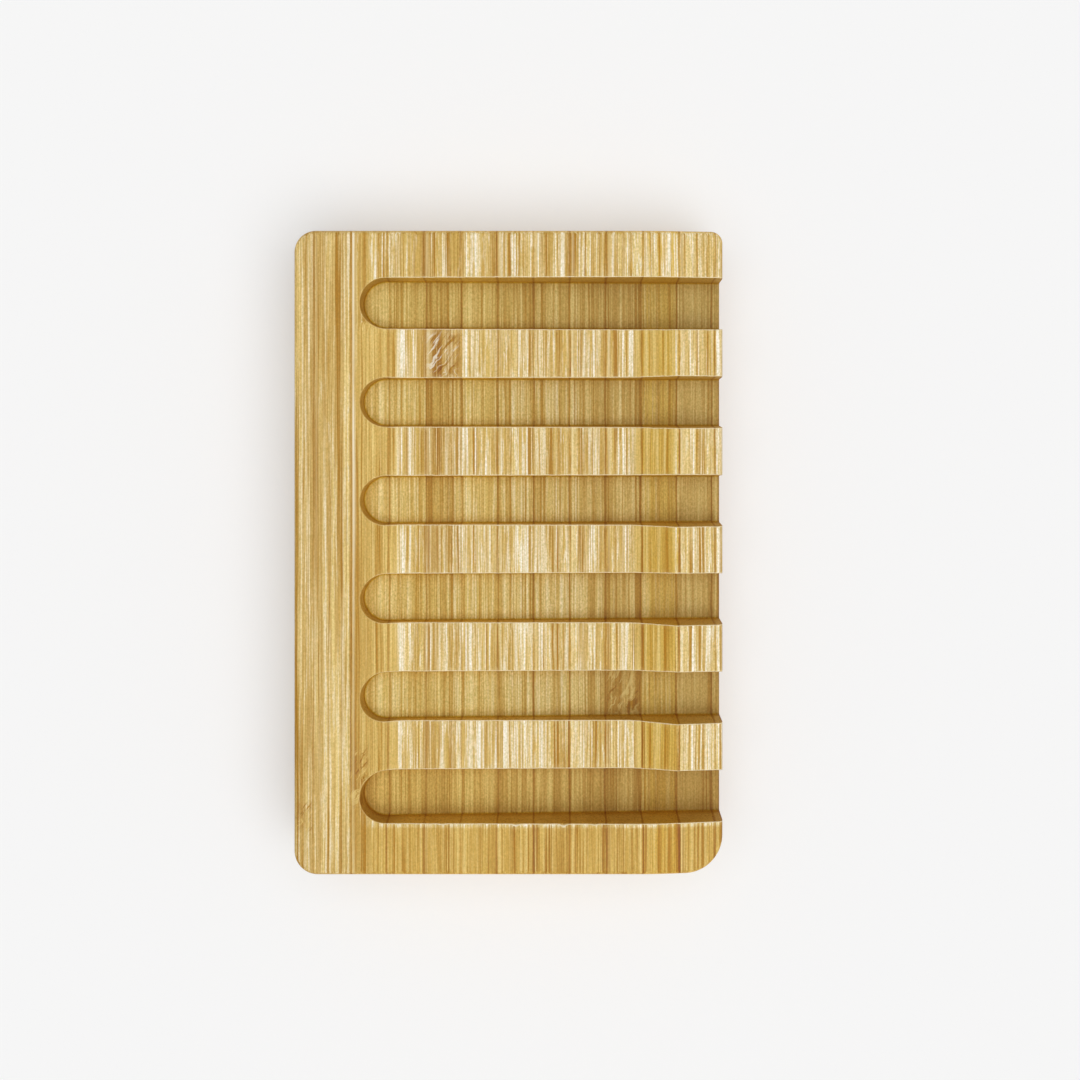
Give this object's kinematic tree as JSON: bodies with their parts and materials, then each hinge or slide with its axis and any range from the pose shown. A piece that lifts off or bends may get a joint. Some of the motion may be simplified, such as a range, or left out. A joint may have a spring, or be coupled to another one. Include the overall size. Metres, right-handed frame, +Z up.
{
  "type": "soap dish",
  "caption": "Flat laminated bamboo soap dish with a scooped seat and sloping drain grooves that run out over an open lip.",
  "frame": {"origin": "centre of the flat underside", "axes": "+Z up out of the seat, +Y along the strips and the long side, +X towards the open drain lip"},
  "size_m": [0.08, 0.12, 0.018],
  "materials": {
    "bamboo_honey": "satin, oiled",
    "bamboo_tan": "satin, oiled",
    "bamboo_pale": "satin, oiled"
  },
  "bodies": {
    "root": {"rim_edge_strip": "bamboo_honey", "rim_strip": "bamboo_honey", "groove_end_strip": "bamboo_pale", "seat_strip_1": "bamboo_pale", "seat_strip_2": "bamboo_tan", "seat_strip_3": "bamboo_pale", "seat_strip_4": "bamboo_tan", "seat_strip_5": "bamboo_tan", "seat_strip_6": "bamboo_pale", "seat_strip_7": "bamboo_tan", "crest_strip": "bamboo_honey", "lip_strip": "bamboo_pale", "lip_edge_strip": "bamboo_pale"}
  },
  "joints": []
}
